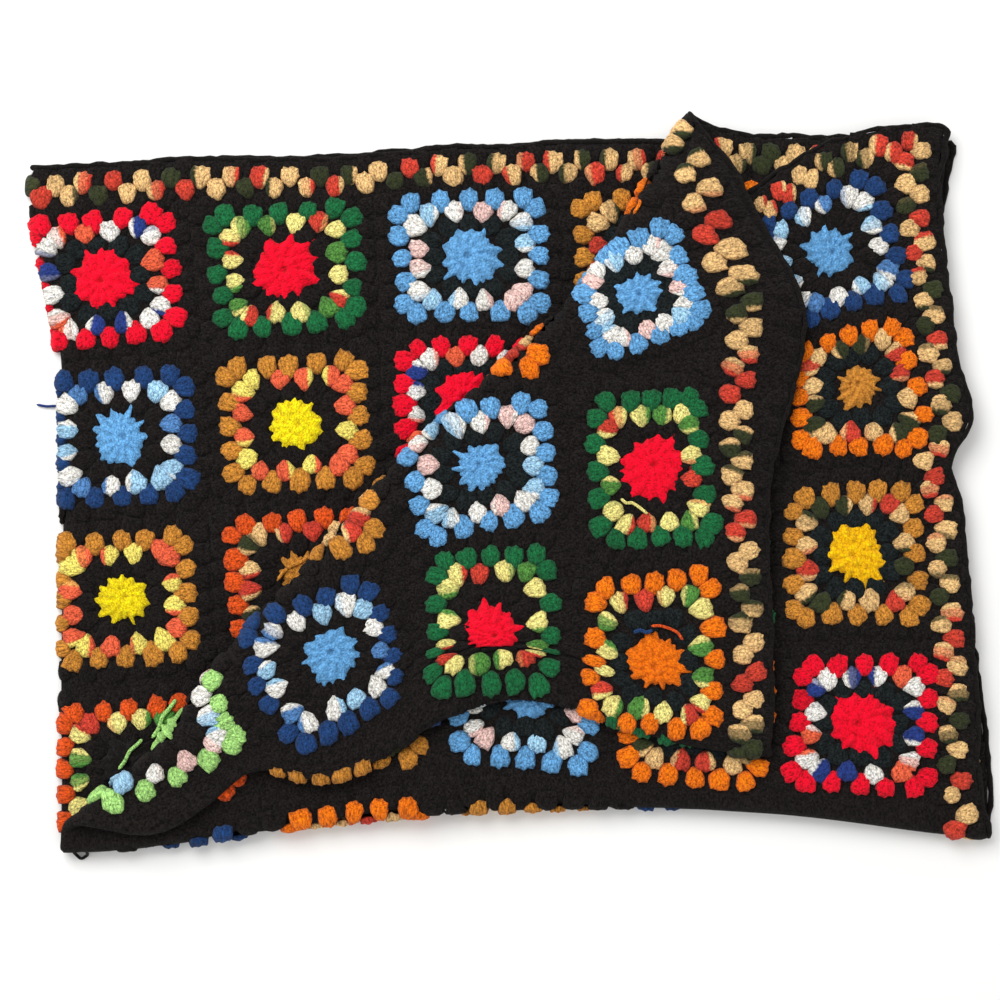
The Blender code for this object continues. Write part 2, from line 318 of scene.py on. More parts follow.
columns = sheet_lines(HALF_LONG - HEM_IN, CLOTH_CELL, BEND_REACH, BEND_CELL)
rows = sheet_lines(HALF_WIDE - HEM_IN, CLOTH_CELL, BEND_REACH, BEND_CELL)
grid_along, grid_across = np.meshgrid(columns, rows)
cloth_points = carried(grid_along, grid_across, np.zeros_like(grid_along)).reshape(-1, 3)
corner = (np.arange(len(rows) - 1)[:, None] * len(columns) + np.arange(len(columns) - 1)).ravel()
cloth_triangles = np.concatenate(
    [
        np.stack([corner, corner + 1, corner + 1 + len(columns)], axis=1),
        np.stack([corner, corner + 1 + len(columns), corner + len(columns)], axis=1),
    ]
)
cloth_run = np.stack([grid_along, grid_across, np.zeros_like(grid_along)], axis=-1) / STRAND_PITCH
cloth = mesh_piece("base_cloth", cloth_points, cloth_triangles, None, cloth_run.reshape(-1, 3))
depth = cloth.modifiers.new("thickness", "SOLIDIFY")
depth.thickness = CLOTH_THICKNESS
depth.offset = 0.0
shelter = BVHTree.FromPolygons(cloth_points.tolist(), cloth_triangles.tolist())

# ---------------------------------------------------------------- The yarn
# Medium-weight acrylic yarn, loosely plied and a little fuzzy: plain shades, and variegated ones
# that change shade about every cluster. Its strands and the gaps between them are in the material,
# with painted shade in the gaps.

Shade = namedtuple("Shade", "name red green blue")
SHADES = (
    Shade("black", 20, 17, 16),
    Shade("pitch", 24, 29, 30),
    Shade("green", 22, 104, 58),
    Shade("sky", 104, 168, 222),
    Shade("red", 250, 4, 42),
    Shade("orange", 255, 122, 10),
    Shade("rust", 228, 84, 24),
    Shade("ochre", 206, 136, 50),
    Shade("navy", 29, 64, 116),
    Shade("yellow", 255, 226, 16),
    Shade("amber", 255, 190, 4),
    Shade("lime", 172, 226, 128),
    Shade("cream", 240, 194, 130),
    Shade("brick", 212, 66, 48),
    Shade("olive", 52, 58, 32),
    Shade("white", 245, 242, 234),
    Shade("royal", 38, 60, 132),
    Shade("coral", 246, 102, 66),
    Shade("straw", 250, 234, 140),
    Shade("lemon", 255, 232, 112),
    Shade("leaf", 84, 142, 62),
    Shade("pink", 246, 204, 196),
    Shade("mist", 160, 205, 236),
    Shade("denim", 84, 132, 190),
)


def linear(value):
    """A display value from 0 to 255 as linear light."""
    value = value / 255
    return value / 12.92 if value <= 0.04045 else ((value + 0.055) / 1.055) ** 2.4


TONE = {shade.name: np.array([linear(v) for v in shade[1:]]) for shade in SHADES}
VARIEGATED = {
    "harvest": ("cream", "brick", "cream", "olive"),
    "flag": ("white", "royal", "white", "coral"),
    "meadow": ("straw", "leaf", "straw", "brick"),
    "blossom": ("white", "pink", "white", "mist"),
    "sunset": ("coral", "lemon", "coral", "lemon", "coral"),
    "tide": ("white", "mist", "white", "denim"),
}
CHANGE_RUN = 0.18
SHADE_RUNS = (0.7, 1.7)
STARTS_APART = 1000
chance = np.random.default_rng(7)


def yarn_tones(name, run, start):
    """The colour at each run of the yarn, in clusters: plain, or changing along a variegated one."""
    if name in TONE:
        return np.broadcast_to(TONE[name], run.shape + (3,)).copy()
    shades = VARIEGATED[name]
    own = np.random.default_rng(start * STARTS_APART + len(name))
    count = int(run.max()) * 2 + 8
    ends = np.cumsum(own.uniform(*SHADE_RUNS, count))
    first = own.integers(len(shades))
    steps = np.array([TONE[shades[(first + i) % len(shades)]] for i in range(count)])
    stops = np.sort(np.concatenate([ends - CHANGE_RUN, ends]))[:-1]
    values = np.repeat(steps, 2, axis=0)[1:]
    return np.stack([np.interp(run, stops, values[:, i]) for i in range(3)], axis=-1)


Noise = namedtuple("Noise", "scale detail roughness")
BEND_NOISE = Noise(0.9, 2.0, 0.6)
FUZZ_NOISE = Noise(1300.0, 3.0, 0.7)
UNEVEN_NOISE = Noise(620.0, 3.0, 0.7)
BEND_BY = (1.5, 1.5, 0.0)
DRAWN_BY = (1.05, 0.70, 1.0)
STRAND_CELLS = 1.0
HOLE_CELLS = 0.72
FUZZ_HEIGHT = 0.9
STRAND_HEIGHT = -0.6
STRAND_TINT = 0.12

Range = namedtuple("Range", "low high to_low to_high")
SEAM_RANGE = Range(0.0, 0.15, 0.42, 1.0)
HOLE_RANGE = Range(0.07, 0.28, 0.0, 1.0)


def noise(nodes, kind):
    """A noise texture of this kind."""
    made = nodes.new("ShaderNodeTexNoise")
    made.inputs["Scale"].default_value = kind.scale
    made.inputs["Detail"].default_value = kind.detail
    made.inputs["Roughness"].default_value = kind.roughness
    return made


def cells(nodes, scale):
    """A pattern of uneven cells."""
    made = nodes.new("ShaderNodeTexVoronoi")
    made.voronoi_dimensions = "2D"
    made.inputs["Scale"].default_value = scale
    made.inputs["Randomness"].default_value = 1.0
    return made


def ranged(nodes, span):
    """A value between low and high, brought to lie between to_low and to_high."""
    made = nodes.new("ShaderNodeMapRange")
    made.inputs["From Min"].default_value = span.low
    made.inputs["From Max"].default_value = span.high
    made.inputs["To Min"].default_value = span.to_low
    made.inputs["To Max"].default_value = span.to_high
    return made


def worked_out(tree, kind, operation, *values):
    """The result of a sum of values, each a number, a vector or what another node puts out."""
    made = tree.nodes.new(kind)
    made.operation = operation
    for spot, value in zip(made.inputs, values):
        if isinstance(value, bpy.types.NodeSocket):
            tree.links.new(value, spot)
        else:
            spot.default_value = value
    return made.outputs[0]


def strand_coordinates(tree):
    """The run of the yarn, drawn out along the stitches and a little bent."""
    named = tree.nodes.new("ShaderNodeAttribute")
    named.attribute_name = "yarn_run"
    run = named.outputs["Vector"]
    bent = noise(tree.nodes, BEND_NOISE)
    tree.links.new(run, bent.inputs["Vector"])
    moved = worked_out(tree, "ShaderNodeVectorMath", "MULTIPLY_ADD", bent.outputs["Color"], BEND_BY, run)
    return worked_out(tree, "ShaderNodeVectorMath", "MULTIPLY", moved, DRAWN_BY)


def yarn_surface():
    """A group that gives yarn its height, its unevenness and a mask of the small gaps between its strands,
    which sets their depth and, in the material, their painted shade.
    """
    group = bpy.data.node_groups.new("yarn_surface", "ShaderNodeTree")
    for output in ("Height", "Uneven", "Gap"):
        group.interface.new_socket(output, in_out="OUTPUT", socket_type="NodeSocketFloat")
    nodes, links = group.nodes, group.links
    out = nodes.new("NodeGroupOutput")
    run = strand_coordinates(group)
    place = nodes.new("ShaderNodeTexCoord").outputs["Object"]
    strands, edges, holes = (cells(nodes, scale) for scale in (STRAND_CELLS, STRAND_CELLS, HOLE_CELLS))
    edges.feature = "DISTANCE_TO_EDGE"
    fuzz, uneven_noise = noise(nodes, FUZZ_NOISE), noise(nodes, UNEVEN_NOISE)
    for texture in (strands, edges, holes):
        links.new(run, texture.inputs["Vector"])
    for texture in (fuzz, uneven_noise):
        links.new(place, texture.inputs["Vector"])
    seam, hole = ranged(nodes, SEAM_RANGE), ranged(nodes, HOLE_RANGE)
    links.new(edges.outputs["Distance"], seam.inputs["Value"])
    links.new(holes.outputs["Distance"], hole.inputs["Value"])
    maths = partial(worked_out, group, "ShaderNodeMath")
    # The gap mask: the seams between strands and the holes among them. It deepens the relief, and in the
    # material it sets the painted shade there.
    gap = maths("MULTIPLY", seam.outputs["Result"], hole.outputs["Result"])
    fuzzy = maths("MULTIPLY_ADD", fuzz.outputs["Fac"], FUZZ_HEIGHT, gap)
    height = maths("MULTIPLY_ADD", strands.outputs["Distance"], STRAND_HEIGHT, fuzzy)
    each = nodes.new("ShaderNodeSeparateColor")
    links.new(strands.outputs["Color"], each.inputs["Color"])
    # Random mottling of the yarn's brightness, from strand to strand and over its surface.
    mottled = maths("MULTIPLY_ADD", each.outputs["Red"], STRAND_TINT, uneven_noise.outputs["Fac"])
    links.new(height, out.inputs["Height"])
    links.new(mottled, out.inputs["Uneven"])
    links.new(gap, out.inputs["Gap"])
    return group


YARN_SURFACE = yarn_surface()
YARN_ROUGHNESS = 0.88
SHEEN_ROUGHNESS = 0.5
BUMP_STRENGTH = 0.8
UNEVEN_FROM = (0.36, 0.72)
# gap_shade is how dark the painted shade in the gaps between strands makes the colour.
Finish = namedtuple("Finish", "tone dark light gap_shade relief gloss fuzz")


def yarn_material(name, finish):
    """Yarn of the finish's tone, or of the colours on the mesh where it has none, mottled and darkened by
    painted shade in the gaps between its strands.
    """
    material = bpy.data.materials.new(name)
    material.use_nodes = True
    nodes, links = material.node_tree.nodes, material.node_tree.links
    shader = nodes["Principled BSDF"]
    shader.inputs["Roughness"].default_value = YARN_ROUGHNESS
    shader.inputs["Specular IOR Level"].default_value = finish.gloss
    shader.inputs["Sheen Weight"].default_value = finish.fuzz
    shader.inputs["Sheen Roughness"].default_value = SHEEN_ROUGHNESS
    surface = nodes.new("ShaderNodeGroup")
    surface.node_tree = YARN_SURFACE
    uneven = ranged(nodes, Range(*UNEVEN_FROM, finish.dark, finish.light))
    # Painted shade: the colour darkened in the seams and holes between the strands.
    gaps = ranged(nodes, Range(0.0, 1.0, finish.gap_shade, 1.0))
    links.new(surface.outputs["Uneven"], uneven.inputs["Value"])
    links.new(surface.outputs["Gap"], gaps.inputs["Value"])
    shade = worked_out(
        material.node_tree, "ShaderNodeMath", "MULTIPLY", uneven.outputs["Result"], gaps.outputs["Result"]
    )
    shaded = nodes.new("ShaderNodeMix")
    shaded.data_type = "RGBA"
    shaded.blend_type = "MULTIPLY"
    shaded.clamp_result = True
    shaded.inputs["Factor"].default_value = 1.0
    if finish.tone is None:
        colour = nodes.new("ShaderNodeAttribute")
        colour.attribute_name = "yarn_colour"
        links.new(colour.outputs["Color"], shaded.inputs["A"])
    else:
        shaded.inputs["A"].default_value = (*TONE[finish.tone], 1.0)
    bump = nodes.new("ShaderNodeBump")
    bump.inputs["Strength"].default_value = BUMP_STRENGTH
    bump.inputs["Distance"].default_value = finish.relief
    links.new(shade, shaded.inputs["B"])
    links.new(shaded.outputs["Result"], shader.inputs["Base Color"])
    links.new(surface.outputs["Height"], bump.inputs["Height"])
    links.new(bump.outputs["Normal"], shader.inputs["Normal"])
    return material


COLOURED_YARN = yarn_material("coloured_yarn", Finish(None, 0.74, 1.46, 0.38, 0.0012, 0.10, 0.07))
CENTRE_YARN = yarn_material("centre_yarn", Finish(None, 0.84, 1.42, 0.66, 0.0012, 0.10, 0.05))
# The black and pitch yarns mottle far more widely: random tone, and in their lightest specks painted
# highlight on the fuzz.
BLACK_YARN = yarn_material("black_yarn", Finish("black", 0.30, 2.9, 0.30, 0.0011, 0.06, 0.03))
PITCH_YARN = yarn_material("pitch_yarn", Finish("pitch", 0.35, 2.2, 0.35, 0.0010, 0.05, 0.02))
cloth.data.materials.append(BLACK_YARN)
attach(cloth, "root")
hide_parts("blanket")

# ---------------------------------------------------------------- The clusters
# Three treble stitches of yarn worked into one gap: a narrow foot, then a rounded puff of three
# lobes. They stand in rounds of rising size about the middle of each square, those of a side apart
# by their pitch, and every round is worked into the one inside it.


def ways_round(count):
    """Angles evenly round a circle."""
    return np.arange(count) / count * 2 * math.pi


def disc(rings, sectors):
    """A unit disc as rings of points round its middle, as radius, way round and triangles."""
    radius = np.concatenate([[0.0], np.repeat(rings, sectors)])
    way = np.concatenate([[0.0], np.tile(ways_round(sectors), len(rings))])
    around = np.arange(sectors)
    following = (around + 1) % sectors
    triangles = [np.stack([np.zeros(sectors, int), 1 + around, 1 + following], axis=1)]
    for ring in range(len(rings) - 1):
        inner, outer = 1 + ring * sectors, 1 + (ring + 1) * sectors
        triangles.append(np.stack([inner + around, outer + around, outer + following], axis=1))
        triangles.append(np.stack([inner + around, outer + following, inner + following], axis=1))
    return radius, way, np.concatenate(triangles)


# A bundle's shade is painted shade that darkens its yarn's colour: in the grooves, towards the rim and on
# the skirt of a cluster, and in the hollows and low places of a centre.
Bundle = namedtuple("Bundle", "points triangles shade share strand")
CLUSTER_HALF = 0.0086
CLUSTER_HEAD = 0.0084
CLUSTER_FOOT = 0.0098
SQUARENESS = 2.6
POSTS = 3
POST_SPREAD = 1.2
LOBE_DEPTH = 0.17
LOBE_MIDDLE = 0.55
FOOT_TAPER = 1.2
GROOVE_SPREAD = 1.6
GROOVE_DEPTH = 0.30
# Painted shade of a cluster: darker in the grooves between its posts, towards its rim where the puff curves
# down to the cloth, and on the skirt sunk into the cloth.
GROOVE_PAINTED_SHADE = 0.22
EDGE_PAINTED_SHADE = 0.30
SKIRT = 1.03
SKIRT_PAINTED_SHADE = 0.35
SKIRT_DROP = -0.0010


def cluster(rise, rings, sectors, foot_width):
    """One cluster, its puff at the origin and its foot towards -y, in a skirt that sinks into the cloth."""
    radius, way, triangles = disc(np.append(rings, SKIRT), sectors)
    skirt = radius > 1.0
    aside, ahead = radius * np.cos(way), radius * np.sin(way)
    squared = (np.abs(np.cos(way)) ** SQUARENESS + np.abs(np.sin(way)) ** SQUARENESS) ** (-1 / SQUARENESS)
    post = 0.5 + 0.5 * np.cos(aside * POSTS * math.pi)
    edge, head = np.clip(radius, 0, 1) ** 2, np.clip(ahead + 0.5, 0, 1)
    knobby = squared * (1 + LOBE_DEPTH * edge * head * (post - LOBE_MIDDLE))
    x = aside * knobby * CLUSTER_HALF * (1 - (1 - foot_width) * np.clip(-ahead, 0, 1) ** FOOT_TAPER)
    y = ahead * knobby * np.where(ahead > 0, CLUSTER_HEAD, CLUSTER_FOOT)
    groove = (1 - post) * np.clip(radius * GROOVE_SPREAD, 0, 1)
    dome = rise * np.sqrt(np.clip(1 - edge**2, 0, 1)) * (1 - GROOVE_DEPTH * groove)
    z = np.where(skirt, SKIRT_DROP, dome)
    # Painted shade in the grooves, towards the rim and on the skirt.
    shade = np.where(skirt, SKIRT_PAINTED_SHADE, 1 - GROOVE_PAINTED_SHADE * groove) * (1 - EDGE_PAINTED_SHADE * edge**3)
    share = np.clip(np.round(aside * POST_SPREAD) + 1, 0, 2) / POSTS
    strand = np.stack([aside * CLUSTER_HALF, ahead * CLUSTER_HEAD], axis=1) / STRAND_PITCH
    return Bundle(np.stack([x, y, z], axis=1), triangles, shade, share, strand)


COLOUR_CLUSTER = cluster(rise=0.0044, rings=(0.28, 0.52, 0.72, 0.88, 1.0), sectors=17, foot_width=0.66)
POINTED_CLUSTER = cluster(rise=0.0042, rings=(0.28, 0.52, 0.72, 0.88, 1.0), sectors=17, foot_width=0.44)
BLACK_CLUSTER = cluster(rise=0.0023, rings=(0.35, 0.65, 0.88, 1.0), sectors=14, foot_width=0.60)

# Where a cluster stands and how, and how far along its length of yarn it is.
Place = namedtuple("Place", "along across heading size lift yarn run start side", defaults=(1,))
Round = namedtuple("Round", "out per_side pitch")
ROUNDS = {
    "second": Round(0.0290, 3, 0.0166),
    "third": Round(0.0410, 4, 0.0208),
    "fourth": Round(0.0526, 5, 0.0212),
    "fifth": Round(0.0632, 6, 0.0214),
}
ROUND_LEAN = math.radians(14)
CLUSTER_LIFT = 0.0012
LIFT_STRAY = 0.0003
PITCH_STRAY = 0.0009
OUT_STRAY = 0.0008
TURN_STRAY = 0.12
SIZE_STRAY = 0.05

# Squares that lie drawn in, moved or turned beyond the folds of the cloth, by column and row.
Set = namedtuple("Set", "along across turn long wide")
PLAIN_SET = Set(0.0, 0.0, 0, 1.00, 0.90)
SQUARE_SETS = {
    (2, 0): Set(-0.009, 0.004, 5, 0.76, 0.90),
    (3, 0): Set(0.000, -0.004, 7, 1.05, 0.88),
    (4, 0): Set(0.008, -0.003, 5, 1.04, 0.92),
    (3, 1): Set(-0.001, -0.010, 8, 0.88, 1.00),
    (4, 1): Set(-0.006, 0.002, 3, 0.86, 0.88),
    (8, 1): Set(-0.010, 0.000, 0, 0.90, 0.90),
    (4, 2): Set(-0.002, 0.004, 15, 1.02, 0.93),
    (4, 3): Set(0.000, 0.012, 6, 0.86, 1.06),
    (9, 0): Set(0.0, 0.0, 0, 0.93, 0.85),
    (9, 1): Set(0.0, 0.0, 0, 0.88, 0.85),
    (9, 2): Set(0.0, 0.0, 0, 0.95, 0.94),
    (9, 3): Set(0.0, 0.0, 0, 1.00, 0.93),
    (3, 7): Set(0.0, 0.0, 0, 1.03, 0.86),
    (2, 7): Set(0.0, 0.0, 0, 1.05, 0.86),
}
STITCH_PULLS = (
    Pull(-0.295, 0.560, 0.085, 0.060, 0.000, -0.024, 0),
    Pull(0.000, 0.370, 0.070, 0.090, 0.026, 0.000, 0),
    Pull(0.250, -0.022, 0.190, 0.030, 0.000, 0.004, 0),
    Pull(0.110, -0.022, 0.070, 0.030, 0.000, 0.008, 0),
    Pull(-0.010, 0.030, 0.055, 0.040, 0.016, -0.004, 0),
)
SAMPLE_LINE = np.linspace(-0.045, 0.045, 3)


def square_frame(column, row):
    """The middle of a square and the steps of the flat cloth that lie true to size about it."""
    along, across = (column - (COLUMNS - 1) / 2) * SQUARE, ((ROWS - 1) / 2 - row) * SQUARE
    set_in = SQUARE_SETS.get((column, row), PLAIN_SET)
    spots = np.meshgrid(along + SAMPLE_LINE, across + SAMPLE_LINE)
    true_steps = eased_back(stretch_at(*spots).mean(axis=(0, 1)))
    turn = math.radians(set_in.turn)
    turning = np.array([[math.cos(turn), -math.sin(turn)], [math.sin(turn), math.cos(turn)]])
    steps = true_steps @ turning @ np.diag([set_in.long, set_in.wide])
    return along + set_in.along, across + set_in.across, steps, turn


def round_places(square, which, yarn, start):
    """The clusters of one round about the middle of a square."""
    found = []
    middle_along, middle_across, steps, turn = square
    spec = ROUNDS[which]
    half = (spec.per_side - 1) / 2
    for side in range(4):
        facing = side * math.pi / 2
        for index in range(spec.per_side):
            offset = index - half
            lean = -ROUND_LEAN * offset / half
            local_x = offset * spec.pitch + chance.normal(0, PITCH_STRAY)
            local_y = spec.out + chance.normal(0, OUT_STRAY)
            flat = steps @ (
                local_x * math.cos(facing) + local_y * math.sin(facing),
                local_y * math.cos(facing) - local_x * math.sin(facing),
            )
            found.append(
                Place(
                    *pulled(middle_along + flat[0], middle_across + flat[1], STITCH_PULLS),
                    -facing + lean + turn + chance.normal(0, TURN_STRAY),
                    chance.normal(1.0, SIZE_STRAY),
                    CLUSTER_LIFT + chance.normal(0, LIFT_STRAY),
                    yarn,
                    side * spec.per_side + index,
                    start,
                )
            )
    return found


Scheme = namedtuple("Scheme", "ring third centre inner")
SCHEMES = {
    "red": Scheme("red", "flag", "red", "pitch"),
    "green": Scheme("green", "meadow", "red", "black"),
    "sky": Scheme("sky", "blossom", "sky", "pitch"),
    "gold": Scheme("ochre", "sunset", "yellow", "black"),
    "wheat": Scheme("ochre", "harvest", "amber", "pitch"),
    "navy": Scheme("navy", "tide", "sky", "black"),
    "amber": Scheme("orange", "harvest", "ochre", "pitch"),
    "ember": Scheme("orange", "meadow", "orange", "pitch"),
    "rust": Scheme("rust", "harvest", "ochre", "black"),
    "moss": Scheme("rust", "meadow", "black", "black"),
    "lime": Scheme("lime", "blossom", "lime", "black"),
}

# The scheme of each square, a line for each row from the back and a word for each column.
PLAN = (
    "navy amber sky green ember green sky wheat red navy",
    "red gold amber sky green navy red green sky amber",
    "sky green rust wheat navy gold amber red green wheat",
    "amber navy red green lime rust wheat sky amber red",
    "gold sky green rust moss navy amber wheat navy green",
    "navy gold sky rust gold green red sky amber gold",
    "amber wheat red gold navy sky gold green red sky",
    "rust wheat sky green red navy amber sky navy gold",
)

# Rays towards the sky, by their rise in degrees and how many there are round.
SKY_RINGS = ((3, 12), (25, 8), (50, 6), (89, 1))
SKY_RAYS = [
    Vector(
        (
            math.cos(math.radians(rise)) * math.cos(math.radians(way)),
            math.cos(math.radians(rise)) * math.sin(math.radians(way)),
            math.sin(math.radians(rise)),
        )
    )
    for rise, ways in SKY_RINGS
    for way in np.arange(ways) * 360 / ways
]
RAY_START = 0.0045

# How far each cluster strays from its even form, by the number of waves round it.
WOBBLE = ((2, 0.05), (3, 0.045), (5, 0.045), (8, 0.035))
SHADE_STRAY = 0.06
RUN_STRAY = 500


def in_view(places):
    """The places that something above the ground can see, on the face of the cloth or on its back."""
    found = []
    along = np.array([place.along for place in places])
    across = np.array([place.across for place in places])
    for side in (1, -1):
        starts = carried(along, across, np.full(len(places), side * RAY_START))
        for place, start in zip(places, starts):
            start = Vector(start)
            if start.z > 0 and any(shelter.ray_cast(start, ray)[0] is None for ray in SKY_RAYS):
                found.append(place._replace(side=side))
    return found


def laid_on(name, bundle, places, material):
    """Copies of a bundle on the cloth at the places, as one piece coloured by its yarn."""
    number_fields = [field for field in Place._fields if field != "yarn"]
    numbers = {field: np.array([getattr(p, field) for p in places], float) for field in number_fields}
    count = len(bundle.points)
    way = np.arctan2(bundle.points[:, 1], bundle.points[:, 0])
    reach = np.hypot(*bundle.points[:, :2].T)
    size = numbers["size"][:, None] * np.ones(count)
    rise = np.ones_like(size)
    for waves, amount in WOBBLE:
        phase = chance.uniform(0, 2 * math.pi, (2, len(places), 1))
        size += amount * np.cos(waves * way + phase[0]) * reach / reach.max()
        rise += 2 * amount * np.cos(waves * way + phase[1]) * reach / reach.max()
    cos, sin = np.cos(numbers["heading"])[:, None], np.sin(numbers["heading"])[:, None]
    aside, ahead = bundle.points[:, 0] * size, bundle.points[:, 1] * size
    steps = eased_back(stretch_at(numbers["along"], numbers["across"]))[:, None]
    true_along, true_across = aside * cos - ahead * sin, aside * sin + ahead * cos
    along = numbers["along"][:, None] + steps[..., 0, 0] * true_along + steps[..., 0, 1] * true_across
    across = numbers["across"][:, None] + steps[..., 1, 0] * true_along + steps[..., 1, 1] * true_across
    height = (bundle.points[:, 2] * rise + numbers["lift"][:, None]) * numbers["side"][:, None]
    spots = carried(along.ravel(), across.ravel(), height.ravel())
    faces = np.arange(len(places))[:, None, None] * count + bundle.triangles
    faces[numbers["side"] < 0] = faces[numbers["side"] < 0][:, :, ::-1]
    tones = np.empty((len(places), count, 3))
    keys = [(p.yarn, p.start) for p in places]
    for key in sorted(set(keys)):
        chosen = [i for i, k in enumerate(keys) if k == key]
        tones[chosen] = yarn_tones(key[0], numbers["run"][chosen][:, None] + bundle.share, key[1])
    # The bundle's painted shade, with a random tone for each cluster.
    tones *= (bundle.shade * chance.normal(1.0, SHADE_STRAY, (len(places), 1)))[..., None]
    run = np.zeros((len(places), count, 3))
    run[..., :2] = bundle.strand + chance.uniform(0, RUN_STRAY, (len(places), 1, 2))
    piece = mesh_piece(
        name, spots, faces.reshape(-1, 3), np.clip(tones.reshape(-1, 3), 0, 1), run.reshape(-1, 3)
    )
    piece.data.materials.append(material)
    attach(piece, "root")


FOLD_CLEAR = 0.017
squares = [
    (square_frame(column, row), SCHEMES[name], row * COLUMNS + column)
    for row, line in enumerate(PLAN)
    for column, name in enumerate(line.split())
]
ring_places, third_places, fifth_places = [], [], []
second_places = {"pitch": [], "black": []}
for square, scheme, number in squares:
    second_places[scheme.inner] += round_places(square, "second", scheme.inner, number)
    third_places += round_places(square, "third", scheme.third, number)
    ring_places += round_places(square, "fourth", scheme.ring, number)
    fifth_places += round_places(square, "fifth", "black", number)
fifth_places = [p for p in fifth_places if abs(p.across) > FOLD_CLEAR and abs(p.along) > FOLD_CLEAR]
for name, bundle, places, material in (
    ("third_round", POINTED_CLUSTER, third_places, COLOURED_YARN),
    ("fourth_round", COLOUR_CLUSTER, ring_places, COLOURED_YARN),
    ("second_round_pitch", BLACK_CLUSTER, second_places["pitch"], PITCH_YARN),
    ("second_round_black", BLACK_CLUSTER, second_places["black"], BLACK_YARN),
    ("fifth_round", BLACK_CLUSTER, fifth_places, BLACK_YARN),
):
    laid_on(name, bundle, in_view(places), material)

# ---------------------------------------------------------------- The centres
# The first round of each square: a raised, puckered puff of radial stitches, with chain points
# that reach out between the black clusters.

CENTRE_HALF = 0.0198
CENTRE_RINGS = (0.08, 0.16, 0.25, 0.34, 0.43, 0.52, 0.61, 0.70, 0.79, 0.88, 0.95, 1.0, 1.02)
CENTRE_SECTORS = 84
CENTRE_OVAL = 0.07
CENTRE_RISE = 0.0052
CROWN_RINGS = (0, 0.08, 0.20, 0.32, 0.43, 0.56, 0.75, 0.90, 1.0)
CROWN_RISES = (0.25, 0.45, 0.95, 1.0, 0.70, 0.95, 0.88, 0.6, 0.2)
# Painted shade of a centre: darker in the dimple at its middle and in the groove round it, in the furrows
# between its petals, and where its face lies low, a little lighter where it stands high.
PAINTED_SHADE_RINGS = (0, 0.10, 0.20, 0.36, 0.45, 0.56, 1.0)
PAINTED_SHADE_VALUES = (0.62, 0.75, 0.97, 1.0, 0.88, 1.0, 1.0)
POINTS = 11
POINT_REACH = 0.0064
POINT_STRAY = 0.20
POINT_REACHES = (0.25, 1.1)
POINT_HALVES = (0.10, 0.16)
POINT_BLUNT = 2.0
POINT_CURVE = 0.6
RUFFLE = 0.0008
RUFFLES = 17
RUFFLE_SWAY = 1.8
PETALS = 12
PETAL_SWAY = 1.5
PETAL_TWIST = 4
PETAL_DEPTH = 0.34
PETAL_PAINTED_SHADE = 0.22
MIDDLE_STRAY = 0.10
KNOBS = 60
KNOB_REACH = 0.0021
KNOB_RISES = (-0.0010, 0.0014)
KNOB_CROWDING = 0.6
KNOBBED = 0.97
LOW_TO_HIGH = (0.0010, 0.0040)
PAINTED_SHADE_LOW_TO_HIGH = (0.82, 1.05)


def centre(seed):
    """The middle of a square, with its points, petals and knobs strewn by the seed."""
    own = np.random.default_rng(seed)
    radius, way, triangles = disc(CENTRE_RINGS, CENTRE_SECTORS)
    out = radius * CENTRE_HALF * (1 + CENTRE_OVAL * np.sin(2 * way + own.uniform(0, 6)) * radius)
    outer = np.clip(radius - 0.5, 0, 1) ** 1.5 / 0.35
    tip = np.zeros_like(out)
    for point_way in (np.arange(POINTS) + own.normal(0, POINT_STRAY, POINTS)) / POINTS * 2 * math.pi:
        off = np.abs((way - point_way + math.pi) % (2 * math.pi) - math.pi)
        reach, half = POINT_REACH * own.uniform(*POINT_REACHES), own.uniform(*POINT_HALVES)
        tip = np.maximum(tip, reach * np.clip(POINT_BLUNT * (1 - off / half), 0, 1) ** POINT_CURVE)
    out = out + (tip + RUFFLE * np.cos(RUFFLES * way + RUFFLE_SWAY * np.sin(3 * way))) * outer
    sway = PETAL_SWAY * np.sin(2 * way + own.uniform(0, 6))
    petal = 0.5 + 0.5 * np.cos(PETALS * way + sway + PETAL_TWIST * radius)
    crown = np.interp(radius, CROWN_RINGS, CROWN_RISES)
    ridged = np.clip(radius * 2 - 0.3, 0, 1)
    rise = CENTRE_RISE * crown * (1 - PETAL_DEPTH * (1 - petal) * ridged)
    across, along = out * np.sin(way), out * np.cos(way)
    aslant = own.normal(0, MIDDLE_STRAY * CENTRE_HALF, 2) * np.clip(1 - radius, 0, 1)[:, None]
    along, across = along + aslant[:, 0], across + aslant[:, 1]
    for _ in range(KNOBS):
        knob_way, knob_out = own.uniform(0, 2 * math.pi), CENTRE_HALF * own.uniform(0.05, 1) ** KNOB_CROWDING
        away = np.hypot(along - knob_out * math.cos(knob_way), across - knob_out * math.sin(knob_way))
        knob = own.uniform(*KNOB_RISES) * np.exp(-((away / KNOB_REACH) ** 2))
        rise = rise + knob * (radius < KNOBBED)
    rise = np.where(radius > 1.0, SKIRT_DROP, rise)
    # Painted shade in the dimple, the groove and between the petals, then darker where the face lies low and
    # lighter where it stands high.
    shade = np.interp(radius, PAINTED_SHADE_RINGS, PAINTED_SHADE_VALUES) * (1 - PETAL_PAINTED_SHADE * (1 - petal) * ridged)
    shade = shade * np.interp(rise, LOW_TO_HIGH, PAINTED_SHADE_LOW_TO_HIGH)
    points = np.stack([along, across, rise], axis=1)
    return Bundle(points, triangles, shade, np.zeros(len(points)), points[:, :2] / STRAND_PITCH)


CENTRE_KINDS = 4
FIRST_KIND = 20
CENTRE_SIZES = {"red": 1.14, "amber": 1.14, "yellow": 0.94, "ochre": 0.80}
CENTRE_STRAY = 0.04
CENTRE_LIFT = 0.0008


